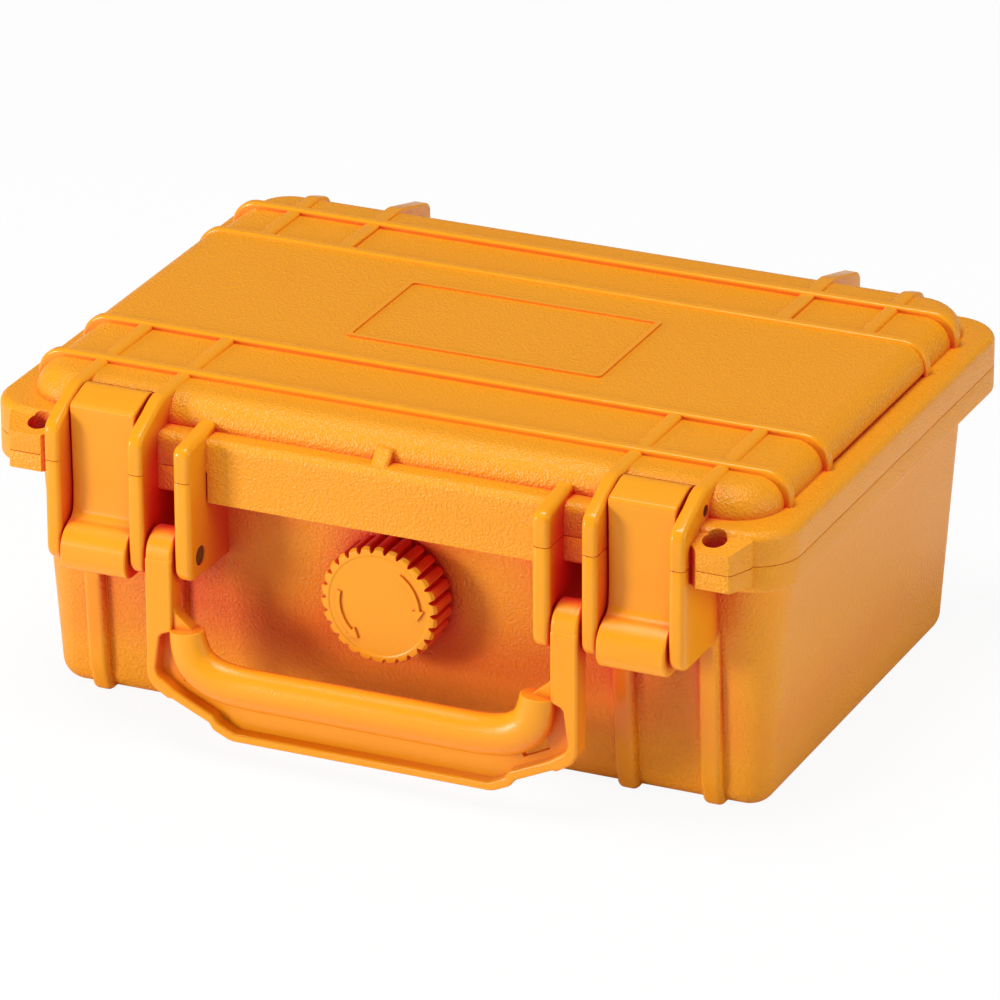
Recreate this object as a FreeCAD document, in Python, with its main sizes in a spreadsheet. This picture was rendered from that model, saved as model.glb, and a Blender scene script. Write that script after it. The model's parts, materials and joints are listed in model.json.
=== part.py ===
import FreeCAD, Part
import math
import os

import Sketcher
from FreeCAD import Vector

# A small watertight hard case: a drafted tub and a domed lid on two rear hinges, two draw-down
# latches and a folding carry handle at the front, and a manual pressure purge valve in the front wall.
# Millimetres. X runs along the front, -Y is the front, +Z is up, and the origin is the centre of the
# face that the case stands on.

DIMENSIONS = {
    # Flanges that meet at the parting plane
    "flange_half_width": 105.0,
    "flange_front": 75.4,
    "flange_rear": 73.5,
    "flange_corner": 12.0,
    "flange_bottom": 64.0,
    "parting": 71.0,
    "flange_top": 79.3,
    # Tub
    "tub_half_width": 95.0,
    "tub_half_depth": 60.0,
    "tub_corner": 6.5,
    "tub_foot_round": 6.0,
    "draft_angle": 4.0,
    "draft_slope": 0.0699,
    "wall": 3.0,
    "floor": 3.0,
    # Lid dome
    "dome_half_width": 97.9,
    "dome_front": 69.5,
    "dome_rear": 69.0,
    "dome_corner": 12.0,
    "dome_round": 6.8,
    "dome_top": 86.4,
    "panel_top": 87.2,
    "rib_top": 87.9,
    "lid_roof": 83.4,
    "gusset_width": 4.6,
    "cavity_half_width": 93.6,
    "cavity_half_depth": 61.9,
    "cavity_corner": 9.0,
    "cavity_round": 4.0,
    # Ribs along the lid
    "rib_width": 3.0,
    "rib_front_outer": 55.3,
    "rib_front_inner": 31.4,
    "rib_rear_inner": 32.9,
    "rib_rear_outer": 53.0,
    "rib_end": 101.6,
    "label_half_width": 34.2,
    "label_front": 19.2,
    "label_rear": 19.9,
    "label_line": 1.3,
    # Latch and handle ribs on the front
    "latch_rib_outer": 81.9,
    "latch_rib_inner": 59.6,
    "latch_rib_width": 4.0,
    "handle_rib": 47.1,
    "handle_rib_width": 4.5,
    "rib_front": 84.6,
    "rib_knee": 80.4,
    "rib_foot": 44.5,
    "handle_rib_knee": 79.8,
    # Padlock ears
    "ear_front": 82.2,
    "ear_bottom": 66.6,
    "ear_tip": 94.5,
    "ear_root": 97.4,
    "padlock_x": 88.6,
    "padlock_y": 77.1,
    "padlock_radius": 3.0,
    # Seal between the flanges
    "seal_half_width": 98.8,
    "seal_front": 68.8,
    "seal_rear": 67.8,
    "seal_corner": 10.0,
    "groove_width": 3.4,
    "groove_top": 75.2,
    "gasket_width": 3.0,
    "tongue_width": 1.6,
    "tongue_top": 72.9,
    "seal_gap": 0.3,
    # Hinges
    "hinge_y": 78.4,
    "hinge_radius": 4.4,
    "hinge_pin_radius": 1.5,
    "hinge_lug_width": 5.0,
    "hinge_lug_pitch": 5.5,
    "running_clearance": 0.05,
    # Latches
    "latch_width": 17.6,
    "latch_pin_y": 71.5,
    "latch_pin_z": 81.8,
    "latch_pin_radius": 1.5,
    "latch_barrel": 4.7,
    "latch_face": 78.6,
    "latch_inner": 76.2,
    "latch_roll": 5.5,
    "latch_roll_y": 80.5,
    "latch_roll_z": 48.0,
    "latch_gap": 0.5,
    # Handle
    "handle_pin_y": 79.0,
    "handle_pin_z": 50.5,
    "handle_pin_radius": 2.5,
    "handle_barrel": 6.0,
    "arm_outer": 57.0,
    "arm_inner": 49.9,
    "handle_face": 85.3,
    "handle_back": 79.3,
    "web_face": 81.9,
    "web_back": 80.1,
    "roll_face": 88.2,
    "roll_back": 79.6,
    "roll_top": 25.0,
    "roll_bottom": 14.4,
    "shoulder": 32.6,
    "handle_bottom": 5.4,
    "rim_width": 2.3,
    # Purge valve
    "valve_z": 43.0,
    "boss_face": 64.2,
    "boss_radius": 9.5,
    "boss_back": 56.6,
    "valve_bore": 5.0,
    "knob_radius": 15.4,
    "knob_face": 74.0,
    "knob_back": 65.0,
    "tooth_count": 26,
    "tooth_depth": 0.9,
    "stem_radius": 2.5,
    # Foam
    "foam_gap": 0.8,
    "foam_round": 4.5,
    "base_foam_top": 12.0,
    "lid_foam_bottom": 73.6,
}


class Measure:
    """A number that keeps the sheet formula it was worked out from."""

    def __init__(self, value, formula):
        self.value = value
        self.formula = formula

    def joined(self, sign, other, value):
        return Measure(value, f"({self.formula} {sign} {measure(other).formula})")

    def __add__(self, other):
        return self.joined("+", other, self.value + measure(other).value)

    def __sub__(self, other):
        return self.joined("-", other, self.value - measure(other).value)

    def __mul__(self, other):
        return self.joined("*", other, self.value * measure(other).value)

    def __truediv__(self, other):
        return self.joined("/", other, self.value / measure(other).value)

    def __neg__(self):
        return Measure(-self.value, f"(-{self.formula})")


def measure(number):
    if isinstance(number, Measure):
        return number
    return Measure(float(number), f"({float(number)})")


class Dimensions:
    """Every cell of the sheet as a Measure, by its alias."""

    def __init__(self, document):
        self.sheet = document.addObject("Spreadsheet::Sheet", "Size")
        for row, (alias, number) in enumerate(DIMENSIONS.items(), start=1):
            self.sheet.set(f"A{row}", alias)
            self.sheet.set(f"B{row}", str(number))
            self.sheet.setAlias(f"B{row}", alias)
            setattr(self, alias, Measure(float(number), f"Size.{alias}"))


doc = FreeCAD.newDocument("WatertightCase")
d = Dimensions(doc)
doc.recompute()


# ---------------------------------------------------------------- Bodies and sketches


def bind(thing, path, number):
    thing.setExpression(path, measure(number).formula)


def new_body(name, x=0, y=0, z=0):
    body = doc.addObject("PartDesign::Body", name)
    for axis, offset in (("x", x), ("y", y), ("z", z)):
        bind(body, f"Placement.Base.{axis}", offset)
    return body


def new_sketch(body, role, offset=0):
    """A sketch on one of the body's origin planes, moved along that plane's normal."""
    plane = next(f for f in body.Origin.OriginFeatures if f.Role == role)
    sketch = body.newObject("Sketcher::SketchObject", body.Name + "Sketch")
    sketch.AttachmentSupport = [(plane, "")]
    sketch.MapMode = "FlatFace"
    bind(sketch, "AttachmentOffset.Base.z", offset)
    return sketch


def pin_point(sketch, geometry, end, corner):
    """Hold a point at its two distances from the sketch's origin."""
    for kind, number in (("DistanceX", corner[0]), ("DistanceY", corner[1])):
        number = measure(number)
        index = sketch.addConstraint(Sketcher.Constraint(kind, -1, 1, geometry, end, number.value))
        sketch.setExpression(f"Constraints[{index}]", number.formula)


def draw_outline(sketch, corners):
    """A closed outline from (u, v) or (u, v, radius) corners in counter-clockwise order."""
    spots = [Vector(measure(c[0]).value, measure(c[1]).value, 0) for c in corners]
    rounds = [measure(c[2]) if len(c) > 2 else None for c in corners]
    count = len(corners)
    starts, ends, arcs = [], [], []
    for i, (spot, radius) in enumerate(zip(spots, rounds)):
        if radius is None:
            starts.append(spot)
            ends.append(spot)
            arcs.append(None)
            continue
        before = (spots[i - 1] - spot).normalize()
        after = (spots[(i + 1) % count] - spot).normalize()
        half = before.getAngle(after) / 2
        reach = radius.value / math.tan(half)
        first, last = spot + before * reach, spot + after * reach
        centre = spot + (before + after).normalize() * (radius.value / math.sin(half))
        left_turn = (before.cross(after)).z < 0
        head, tail = (first, last) if left_turn else (last, first)
        angles = [math.atan2(p.y - centre.y, p.x - centre.x) for p in (head, tail)]
        circle = Part.Circle(centre, Vector(0, 0, 1), radius.value)
        arcs.append((Part.ArcOfCircle(circle, angles[0], angles[1]), left_turn))
        ends.append(first)
        starts.append(last)
    lines = [sketch.addGeometry(Part.LineSegment(starts[i], ends[(i + 1) % count])) for i in range(count)]
    for i, corner in enumerate(corners):
        before, after = lines[i - 1], lines[i]
        if arcs[i] is None:
            sketch.addConstraint(Sketcher.Constraint("Coincident", before, 2, after, 1))
            pin_point(sketch, after, 1, corner)
            continue
        arc = sketch.addGeometry(arcs[i][0])
        first, last = (1, 2) if arcs[i][1] else (2, 1)
        sketch.addConstraint(Sketcher.Constraint("Tangent", before, 2, arc, first))
        sketch.addConstraint(Sketcher.Constraint("Tangent", arc, last, after, 1))
        index = sketch.addConstraint(Sketcher.Constraint("Radius", arc, rounds[i].value))
        sketch.setExpression(f"Constraints[{index}]", rounds[i].formula)
        point = sketch.addGeometry(Part.Point(spots[i]), True)
        pin_point(sketch, point, 1, corner)
        sketch.addConstraint(Sketcher.Constraint("PointOnObject", point, 1, before))
        sketch.addConstraint(Sketcher.Constraint("PointOnObject", point, 1, after))


def draw_circle(sketch, centre, radius):
    spot = Vector(measure(centre[0]).value, measure(centre[1]).value, 0)
    circle = sketch.addGeometry(Part.Circle(spot, Vector(0, 0, 1), measure(radius).value))
    pin_point(sketch, circle, 3, centre)
    index = sketch.addConstraint(Sketcher.Constraint("Radius", circle, measure(radius).value))
    sketch.setExpression(f"Constraints[{index}]", measure(radius).formula)


def pad(body, sketch, length, midplane=False, taper=0):
    feature = body.newObject("PartDesign::Pad", body.Name + "Pad")
    feature.Profile = sketch
    bind(feature, "Length", length)
    feature.Midplane = midplane
    if taper:
        bind(feature, "TaperAngle", taper)
    doc.recompute()
    return feature


def fillet(body, radius, wanted):
    """Round the edges of the body's last feature that the test picks by their middle and their direction."""
    base = body.Tip
    names = []
    for index, edge in enumerate(base.Shape.Edges, start=1):
        middle = edge.valueAt((edge.FirstParameter + edge.LastParameter) / 2)
        if wanted(middle, edge):
            names.append(f"Edge{index}")
    feature = body.newObject("PartDesign::Fillet", body.Name + "Fillet")
    feature.Base = (base, names)
    bind(feature, "Radius", radius)
    doc.recompute()
    return feature


def plate(name, role, outlines, thickness, place=(0, 0, 0), rim=None, rim_test=None):
    """A flat piece: outlines on a plane, padded evenly to both sides, with its face edges rounded."""
    body = new_body(name, *place)
    sketch = new_sketch(body, role)
    for corners in outlines:
        draw_outline(sketch, corners)
    pad(body, sketch, thickness, midplane=True)
    if rim is not None:
        half = measure(thickness).value / 2
        axis = {"YZ_Plane": "x", "XZ_Plane": "y", "XY_Plane": "z"}[role]

        def on_face(middle, edge):
            flat = all(abs(abs(getattr(v.Point, axis)) - half) < 1e-3 for v in edge.Vertexes)
            flat = flat and abs(abs(getattr(middle, axis)) - half) < 1e-3
            return flat and (rim_test is None or rim_test(middle))

        fillet(body, rim, on_face)
    return body


def rounded_block(name, half_width, front, rear, corner, bottom, height, taper=0, inner=None):
    """A block with rounded corners in plan, standing on the level given as bottom."""
    body = new_body(name)
    sketch = new_sketch(body, "XY_Plane", bottom)
    draw_outline(sketch, rectangle(half_width, front, rear, corner))
    if inner is not None:
        draw_outline(sketch, rectangle(*inner))
    pad(body, sketch, height, taper=taper)
    return body


def rectangle(half_width, front, rear, corner):
    half_width = measure(half_width)
    front, rear = measure(front), measure(rear)
    return [
        (-half_width, -front, corner),
        (half_width, -front, corner),
        (half_width, rear, corner),
        (-half_width, rear, corner),
    ]


def cylinder(name, radius, length, axis, centre):
    """A cylinder along an axis, with its middle at centre."""
    piece = doc.addObject("Part::Cylinder", name)
    bind(piece, "Radius", radius)
    bind(piece, "Height", length)
    turns = {"x": FreeCAD.Rotation(Vector(0, 1, 0), 90), "y": FreeCAD.Rotation(Vector(1, 0, 0), -90)}
    piece.Placement = FreeCAD.Placement(Vector(), turns.get(axis, FreeCAD.Rotation()))
    for key, number in zip("xyz", centre):
        number = measure(number)
        bind(piece, f"Placement.Base.{key}", number - measure(length) / 2 if key == axis else number)
    return piece


def box(name, low, high):
    piece = doc.addObject("Part::Box", name)
    for side, key, start, end in zip(("Length", "Width", "Height"), "xyz", low, high):
        bind(piece, side, measure(end) - start)
        bind(piece, f"Placement.Base.{key}", start)
    return piece


def fuse(name, pieces):
    joined = doc.addObject("Part::MultiFuse", name)
    joined.Shapes = pieces
    joined.Refine = True
    doc.recompute()
    return joined


def cut(name, base, tools):
    result = doc.addObject("Part::Cut", name)
    result.Base = base
    result.Tool = tools[0] if len(tools) == 1 else fuse(name + "Tools", tools)
    result.Refine = True
    doc.recompute()
    return result


NODES = []


def node(label, piece):
    """Name a finished piece as one of the case's sub-parts."""
    piece.Label = label
    NODES.append(piece)
    return piece


SIDES = (("left", -1), ("right", 1))


# ---------------------------------------------------------------- Shared moulded shapes


def front_ribs(tag, corners, width, station, rim):
    """The same upright rib on the left and on the right of the case."""
    ribs = []
    for side, sign in SIDES:
        place = (station * sign, 0, 0)
        rib = plate(f"{tag}{side.title()}", "YZ_Plane", [corners], width, place, rim, outside_walls)
        ribs.append(rib)
    return ribs


def outside_walls(middle):
    """Whether a rib's edge lies in the open, clear of the wall and of the parting plane."""
    clear_of_wall = abs(middle.y) > d.tub_half_depth.value + 2.5 or middle.z > d.dome_top.value
    return clear_of_wall and abs(middle.z - d.parting.value) > 0.1


def padlock_ears(tag, bottom, height):
    """Lugs beside the latches that stand out of the flange and carry the padlock holes."""
    ears = []
    for side, sign in SIDES:
        body = new_body(f"{tag}{side.title()}")
        sketch = new_sketch(body, "XY_Plane", bottom)
        inner = d.latch_rib_outer + d.latch_rib_width / 2
        corners = [
            (inner - 1, -d.seal_front),
            (inner - 1, -d.ear_front + 3),
            (inner + 2, -d.ear_front),
            (d.ear_tip, -d.ear_front, 1),
            (d.ear_root, -d.flange_front, 2),
            (d.ear_root, -d.seal_front),
        ]
        corners = [(measure(c[0]) * sign, *c[1:]) for c in corners]
        draw_outline(sketch, corners if sign > 0 else corners[::-1])
        pad(body, sketch, height)
        ears.append(body)
    return ears


def bore_pair(tag, radius, length, axis, station, y, z):
    """Round cutters at the same place on the left and on the right."""
    return [
        cylinder(f"{tag}{side.title()}", radius, length, axis, (station * sign, y, z))
        for side, sign in SIDES
    ]


def hinge_lugs(tag, centres, corners, width):
    return [
        plate(f"{tag}{index}", "YZ_Plane", [corners], width, (x, 0, 0), 0.6, behind_flange)
        for index, x in enumerate(centres)
    ]


def behind_flange(middle):
    return middle.y > d.flange_rear.value + 1


def mirrored(*stations):
    return [measure(x) * sign for sign in (-1, 1) for x in stations]


# ---------------------------------------------------------------- Base shell


def make_base_shell():
    tub = rounded_block(
        "Tub",
        d.tub_half_width,
        d.tub_half_depth,
        d.tub_half_depth,
        d.tub_corner,
        0,
        d.parting,
        d.draft_angle,
    )
    fillet(tub, d.tub_foot_round, lambda middle, edge: middle.z < 0.01)
    flange = rounded_block(
        "BaseFlange",
        d.flange_half_width,
        d.flange_front,
        d.flange_rear,
        d.flange_corner,
        d.flange_bottom,
        d.parting - d.flange_bottom,
    )
    fillet(flange, 1.2, lambda middle, edge: middle.z < d.flange_bottom.value + 0.01)
    tongue_inset = d.tongue_width / 2
    tongue = rounded_block(
        "SealTongue",
        d.seal_half_width + tongue_inset,
        d.seal_front + tongue_inset,
        d.seal_rear + tongue_inset,
        d.seal_corner + tongue_inset,
        d.flange_bottom,
        d.tongue_top - d.flange_bottom,
        inner=(
            d.seal_half_width - tongue_inset,
            d.seal_front - tongue_inset,
            d.seal_rear - tongue_inset,
            d.seal_corner - tongue_inset,
        ),
    )
    pieces = [tub, flange, tongue]

    upright = [
        (-d.rib_front, d.rib_foot, 4),
        (-(d.tub_half_depth - 1), d.rib_foot),
        (-(d.tub_half_depth - 1), d.parting),
        (-d.rib_front, d.parting),
    ]
    pieces += front_ribs("BaseOuterRib", upright, d.latch_rib_width, d.latch_rib_outer, 1.3)
    pieces += front_ribs("BaseInnerRib", upright, d.latch_rib_width, d.latch_rib_inner, 1.3)
    pieces += front_ribs("BaseHandleRib", upright, d.handle_rib_width, d.handle_rib, 1.5)

    pieces += foot_ribs()
    pieces += padlock_ears("BaseEar", d.ear_bottom, d.parting - d.ear_bottom)

    lug = [
        (d.tub_half_depth + 1, 44),
        (d.tub_half_depth + 6, 46, 3),
        (d.hinge_y + d.hinge_radius, 62, 6),
        (d.hinge_y + d.hinge_radius, d.parting + d.hinge_radius, d.hinge_radius - 0.01),
        (d.hinge_y - d.hinge_radius, d.parting + d.hinge_radius, d.hinge_radius - 0.01),
        (d.hinge_y - d.hinge_radius, d.parting - 0.5),
        (d.tub_half_depth + 1, d.parting - 0.5),
    ]
    centres = mirrored(d.latch_rib_inner - d.hinge_lug_pitch, d.latch_rib_inner + d.hinge_lug_pitch)
    pieces += hinge_lugs("BaseHingeLug", centres, lug, d.hinge_lug_width)

    boss_centre = (0, -(d.boss_face + d.boss_back) / 2, d.valve_z)
    outer_boss = cylinder("ValveBoss", d.boss_radius, d.boss_face - d.boss_back, "y", boss_centre)
    outside = fuse("BaseOutside", pieces)

    cavity = rounded_block(
        "BaseCavity",
        d.tub_half_width - d.wall - 0.3,
        d.tub_half_depth - d.wall - 0.3,
        d.tub_half_depth - d.wall - 0.3,
        d.tub_corner - d.wall,
        d.floor,
        d.parting + 5,
        d.draft_angle,
    )
    fillet(cavity, 3, lambda middle, edge: middle.z < d.floor.value + 0.01)
    lip_recess = box(
        "LipRecess",
        (-(d.handle_rib - d.handle_rib_width / 2), -(d.flange_front + 5), d.flange_bottom - 2),
        (d.handle_rib - d.handle_rib_width / 2, -(d.flange_front - 2.5), d.tongue_top + 1),
    )
    hollow = fuse("BaseWithBoss", [cut("BaseHollow", outside, [cavity, lip_recess]), outer_boss])
    tools = bore_pair("BasePadlockBore", d.padlock_radius, 40, "z", d.padlock_x, -d.padlock_y, d.parting)
    hinge_centre = d.latch_rib_inner
    tools += bore_pair("BaseHingeBore", d.hinge_pin_radius, 40, "x", hinge_centre, d.hinge_y, d.parting)
    tools += bore_pair(
        "BaseHandleBore", d.handle_pin_radius, 20, "x", handle_pin_centre(), -d.handle_pin_y, d.handle_pin_z
    )
    tools.append(cylinder("ValveBore", d.valve_bore, 40, "y", (0, -d.boss_face, d.valve_z)))
    return node("base_shell", cut("BaseShell", hollow, tools))


def handle_pin_centre():
    """Middle of the gap that each handle arm turns in."""
    return (d.arm_outer + d.arm_inner) / 2


def foot_ribs():
    """Shallow ribs that run down the front and rear walls to the edge that the case stands on."""
    ribs = []
    reach = d.tub_half_depth + 2.6
    slope = d.draft_slope
    for face, sign in (("Front", -1), ("Rear", 1)):
        corners = [
            ((d.tub_half_depth - 6) * sign, 0),
            ((d.tub_half_depth + 0.5) * sign, 0, 2.4),
            ((reach + slope * 7) * sign, 7, 6),
            ((reach + slope * 46) * sign, 46, 3),
            ((d.tub_half_depth - 1) * sign, 52),
        ]
        ordered = corners if sign > 0 else corners[::-1]
        for station in (d.latch_rib_outer, d.latch_rib_inner):
            for side, hand in SIDES:
                name = f"Foot{face}{side.title()}{round(station.value)}"
                rib = plate(name, "YZ_Plane", [ordered], 5.5, (station * hand, 0, 0), 1.6, clear_of_tub)
                ribs.append(rib)
    return ribs


def clear_of_tub(middle):
    wall = d.tub_half_depth.value + d.draft_slope.value * middle.z
    return abs(middle.y) > wall - 1.5 and middle.z > 0.01 and middle.z < 49.5


# ---------------------------------------------------------------- Lid shell


def make_lid_shell():
    flange = rounded_block(
        "LidFlange",
        d.flange_half_width,
        d.flange_front,
        d.flange_rear,
        d.flange_corner,
        d.parting,
        d.flange_top - d.parting,
    )
    fillet(flange, 2.2, lambda middle, edge: middle.z > d.flange_top.value - 0.01)
    dome = rounded_block(
        "Dome",
        d.dome_half_width,
        d.dome_front,
        d.dome_rear,
        d.dome_corner,
        d.parting,
        d.dome_top - d.parting,
    )
    fillet(dome, d.dome_round, lambda middle, edge: middle.z > d.dome_top.value - 0.01)
    pieces = [flange, dome]

    crest = [
        (-d.rib_end, d.flange_top - 1),
        (d.rib_end, d.flange_top - 1),
        (d.rib_end - 2.1, d.flange_top),
        (d.rib_end - 2.1, d.rib_top, d.dome_round),
        (-(d.rib_end - 2.1), d.rib_top, d.dome_round),
        (-(d.rib_end - 2.1), d.flange_top),
    ]
    stations = (-d.rib_front_outer, -d.rib_front_inner, d.rib_rear_inner, d.rib_rear_outer)
    for index, y in enumerate(stations):
        pieces.append(
            plate(f"LongRib{index}", "XZ_Plane", [crest], d.rib_width, (0, y, 0), 0.8, above_flange)
        )

    panel = [
        (-(d.dome_half_width + 0.7), d.flange_top + 1),
        (d.dome_half_width + 0.7, d.flange_top + 1),
        (d.dome_half_width + 0.7, d.panel_top, 6),
        (-(d.dome_half_width + 0.7), d.panel_top, 6),
    ]
    middle_y = (d.rib_rear_inner - d.rib_front_inner) / 2
    pieces.append(
        plate("CentrePanel", "XZ_Plane", [panel], d.rib_rear_inner + d.rib_front_inner, (0, middle_y, 0))
    )
    label = new_body("LabelFrame")
    sketch = new_sketch(label, "XY_Plane", d.panel_top - 1)
    line = d.label_line
    draw_outline(sketch, rectangle(d.label_half_width, d.label_front, d.label_rear, 1.5))
    inner = rectangle(d.label_half_width - line, d.label_front - line, d.label_rear - line, 1)
    draw_outline(sketch, inner)
    pad(label, sketch, 1.5)
    pieces.append(label)

    latch_rib = [
        (-d.rib_front_inner, d.flange_top),
        (-d.rib_front_inner, d.rib_top - 0.3),
        (-(d.rib_front_outer + 16), d.rib_top - 0.9, 10),
        (-d.rib_front, d.rib_knee, 4),
        (-d.rib_front, d.parting),
        (-(d.seal_front + 2.8), d.parting),
        (-(d.seal_front + 2.8), d.flange_top),
    ]
    latch_rib = latch_rib[::-1]
    pieces += front_ribs("LidOuterRib", latch_rib, d.latch_rib_width, d.latch_rib_outer, 1.2)
    pieces += front_ribs("LidInnerRib", latch_rib, d.latch_rib_width, d.latch_rib_inner, 1.2)
    handle_rib = [
        (-d.rib_front_outer, d.flange_top),
        (-(d.rib_front_outer + 4), d.flange_top),
        (-(d.seal_front + 2.8), d.parting),
        (-d.rib_front, d.parting),
        (-d.rib_front, d.handle_rib_knee, 2.5),
        (-(d.rib_front_outer + 6), d.handle_rib_knee + 3),
    ]
    pieces += front_ribs("LidHandleRib", handle_rib[::-1], d.handle_rib_width, d.handle_rib, 1.5)

    rear_rib = [
        (d.rib_rear_inner, d.flange_top),
        (d.hinge_y - d.hinge_radius, d.flange_top - 4),
        (d.hinge_y - d.hinge_radius, d.parting - d.hinge_radius, d.hinge_radius - 0.01),
        (d.hinge_y + d.hinge_radius, d.parting - d.hinge_radius, d.hinge_radius - 0.01),
        (d.hinge_y + d.hinge_radius, d.rib_top - 5.5, 3),
        (d.rib_rear_outer + 12, d.rib_top - 0.9, 8),
        (d.rib_rear_inner, d.rib_top - 0.3),
    ]
    pieces += hinge_lugs("LidHingeLug", mirrored(d.latch_rib_inner), rear_rib, d.hinge_lug_width - 1)
    short_rib = [
        (d.rib_rear_inner, d.flange_top),
        (d.dome_rear + 1.5, d.flange_top),
        (d.dome_rear + 1.5, d.rib_top - 3, 3),
        (d.rib_rear_outer + 10, d.rib_top - 0.5, 6),
        (d.rib_rear_inner, d.rib_top - 0.3),
    ]
    pieces += front_ribs("LidRearRib", short_rib, d.latch_rib_width, d.latch_rib_outer, 1.2)

    pieces += lid_ears()
    pieces.append(lid_lip())
    pieces.append(
        plate(
            "FrontGusset",
            "YZ_Plane",
            [
                [
                    (-(d.flange_front - 1), d.flange_top - 1),
                    (-(d.dome_front - 3), d.flange_top - 1),
                    (-(d.dome_front - 3), d.flange_top + 3.5),
                    (-d.dome_front - 0.6, d.flange_top + 3.5, 1.5),
                ]
            ],
            d.gusset_width,
            rim=1,
        )
    )
    outside = fuse("LidOutside", pieces)

    cavity = rounded_block(
        "LidCavity",
        d.cavity_half_width,
        d.cavity_half_depth,
        d.cavity_half_depth,
        d.cavity_corner,
        d.parting - 1,
        d.lid_roof - d.parting + 1,
    )
    fillet(cavity, d.cavity_round, lambda middle, edge: middle.z > d.lid_roof.value - 0.01)
    half = d.groove_width / 2
    groove = rounded_block(
        "SealGroove",
        d.seal_half_width + half,
        d.seal_front + half,
        d.seal_rear + half,
        d.seal_corner + half,
        d.parting - 1,
        d.groove_top - d.parting + 1,
        inner=(d.seal_half_width - half, d.seal_front - half, d.seal_rear - half, d.seal_corner - half),
    )
    latch_centre = (d.latch_rib_outer + d.latch_rib_inner) / 2
    gap_width = d.latch_rib_outer - d.latch_rib_inner - d.latch_rib_width
    tools = [cavity, groove]
    tools += latch_pockets(latch_centre, gap_width)
    # The bores open on the outer side only, where the pins are pressed in
    bore_start = d.latch_rib_inner - 0.6
    bore_length = d.latch_rib_outer + 3 - bore_start
    bore_middle = bore_start + bore_length / 2
    tools += bore_pair(
        "LatchBore", d.latch_pin_radius, bore_length, "x", bore_middle, -d.latch_pin_y, d.latch_pin_z
    )
    tools += bore_pair(
        "LidHingeBore",
        d.hinge_pin_radius + d.running_clearance,
        20,
        "x",
        d.latch_rib_inner,
        d.hinge_y,
        d.parting,
    )
    tools += bore_pair("LidPadlockBore", d.padlock_radius, 40, "z", d.padlock_x, -d.padlock_y, d.parting)
    return node("lid_shell", cut("LidShell", outside, tools))


def latch_pockets(centre, width):
    """Room behind each latch for its barrel to turn in, open to the front and to the top."""
    room = d.latch_barrel + d.latch_gap
    back = d.latch_pin_y - room
    front = d.flange_front + d.latch_gap
    outline = [
        (-front, d.latch_pin_z - room),
        (-back, d.latch_pin_z - room, d.latch_barrel),
        (-back, d.rib_top),
        (-front, d.rib_top),
    ]
    return [
        plate(f"LatchPocket{side.title()}", "YZ_Plane", [outline], width, (centre * sign, 0, 0))
        for side, sign in SIDES
    ]


def above_flange(middle):
    return middle.z > d.flange_top.value + 0.1


def lid_ears():
    """The lid's padlock ears, with tops that fall away towards the front."""
    ears = fuse("LidEars", padlock_ears("LidEar", d.parting, d.flange_top - d.parting))
    slope = plate(
        "EarSlope",
        "YZ_Plane",
        [
            [
                (-(d.ear_front + 4), 75.2),
                (-d.seal_front, d.flange_top + 0.2),
                (-d.seal_front, d.flange_top + 5),
                (-(d.ear_front + 4), d.flange_top + 5),
            ]
        ],
        d.flange_half_width * 2,
    )
    return [cut("SlopedEars", ears, [slope])]


def lid_lip():
    """A skirt between the handle ribs that hangs over the front of the base flange."""
    reach = d.handle_rib - d.handle_rib_width / 2 - 0.4
    body = new_body("LidLip")
    sketch = new_sketch(body, "XY_Plane", d.flange_bottom - 1)
    draw_outline(
        sketch,
        [
            (-reach, -d.flange_front),
            (reach, -d.flange_front),
            (reach, -(d.flange_front - 2.1)),
            (-reach, -(d.flange_front - 2.1)),
        ],
    )
    pad(body, sketch, d.flange_top - d.flange_bottom - 1.2)
    return body


# ---------------------------------------------------------------- Seal, hinge pins and latches


def make_gasket():
    half = d.gasket_width / 2
    gasket = rounded_block(
        "Gasket",
        d.seal_half_width + half,
        d.seal_front + half,
        d.seal_rear + half,
        d.seal_corner + half,
        d.tongue_top + d.seal_gap,
        d.groove_top - d.tongue_top - d.seal_gap,
        inner=(d.seal_half_width - half, d.seal_front - half, d.seal_rear - half, d.seal_corner - half),
    )
    fillet(gasket, 0.7, lambda middle, edge: middle.z < d.tongue_top.value + d.seal_gap.value + 0.01)
    node("lid_gasket", gasket)


def make_hinge_pins():
    length = d.hinge_lug_pitch * 2 + d.hinge_lug_width - 0.6
    for side, sign in SIDES:
        centre = (d.latch_rib_inner * sign, d.hinge_y, d.parting)
        pin = cylinder(f"HingePin{side.title()}", d.hinge_pin_radius, length, "x", centre)
        node(f"hinge_pin_{side}", pin)


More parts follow.
